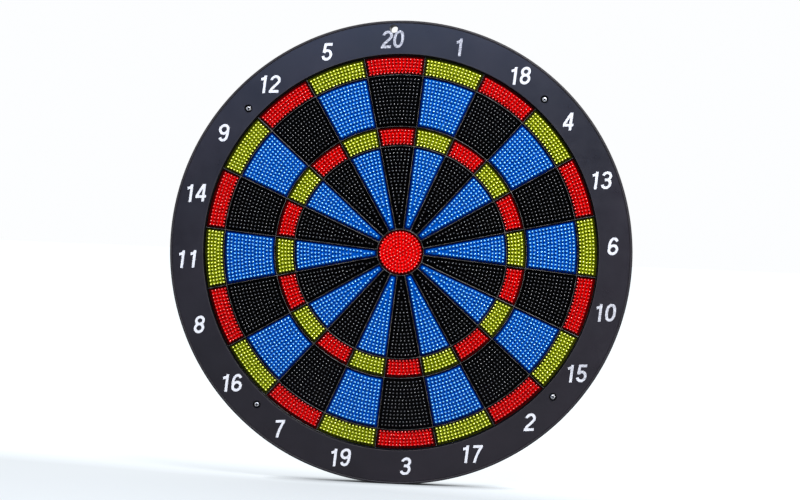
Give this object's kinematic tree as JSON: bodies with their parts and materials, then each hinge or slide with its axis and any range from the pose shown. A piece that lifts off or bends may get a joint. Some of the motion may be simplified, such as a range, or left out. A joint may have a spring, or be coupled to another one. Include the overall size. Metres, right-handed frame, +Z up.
{
  "type": "soft-tip dartboard",
  "caption": "Round soft-tip dartboard: nibbed plastic beds in a thin black spider, a wide ring with numbers, a hole to hang it by and a ribbed rear cover.",
  "frame": {"origin": "centre of the board's back, on the plane that lies against the wall", "axes": "+Z up towards the 20, the front faces -Y, +Y goes into the wall, +X to the right seen from the front"},
  "size_m": [0.4064, 0.024, 0.4064],
  "materials": {
    "ring_charcoal": "satin",
    "numerals_white": "gloss",
    "spider_black": "satin",
    "bed_black": "satin",
    "bed_blue": "satin",
    "bed_red": "satin",
    "bed_lime": "satin",
    "cover_black": "matte",
    "sheet_foam": "matte",
    "screw_steel": "satin"
  },
  "bodies": {
    "root": {"single_beds_20": "bed_black", "single_beds_1": "bed_blue", "single_beds_18": "bed_black", "single_beds_4": "bed_blue", "single_beds_13": "bed_black", "single_beds_6": "bed_blue", "single_beds_10": "bed_black", "single_beds_15": "bed_blue", "single_beds_2": "bed_black", "single_beds_17": "bed_blue", "single_beds_3": "bed_black", "single_beds_19": "bed_blue", "single_beds_7": "bed_black", "single_beds_16": "bed_blue", "single_beds_8": "bed_black", "single_beds_11": "bed_blue", "single_beds_14": "bed_black", "single_beds_9": "bed_blue", "single_beds_12": "bed_black", "single_beds_5": "bed_blue", "double_treble_beds_20": "bed_red", "double_treble_beds_1": "bed_lime", "double_treble_beds_18": "bed_red", "double_treble_beds_4": "bed_lime", "double_treble_beds_13": "bed_red", "double_treble_beds_6": "bed_lime", "double_treble_beds_10": "bed_red", "double_treble_beds_15": "bed_lime", "double_treble_beds_2": "bed_red", "double_treble_beds_17": "bed_lime", "double_treble_beds_3": "bed_red", "double_treble_beds_19": "bed_lime", "double_treble_beds_7": "bed_red", "double_treble_beds_16": "bed_lime", "double_treble_beds_8": "bed_red", "double_treble_beds_11": "bed_lime", "double_treble_beds_14": "bed_red", "double_treble_beds_9": "bed_lime", "double_treble_beds_12": "bed_red", "double_treble_beds_5": "bed_lime", "bull_bed": "bed_red", "spider": "spider_black", "number_ring": "ring_charcoal", "backing_sheet": "sheet_foam", "rear_cover": "cover_black", "front_screw_1": "screw_steel", "front_screw_2": "screw_steel", "front_screw_3": "screw_steel", "front_screw_4": "screw_steel", "rear_screw_1": "screw_steel", "rear_screw_2": "screw_steel", "rear_screw_3": "screw_steel", "rear_screw_4": "screw_steel"}
  },
  "joints": []
}
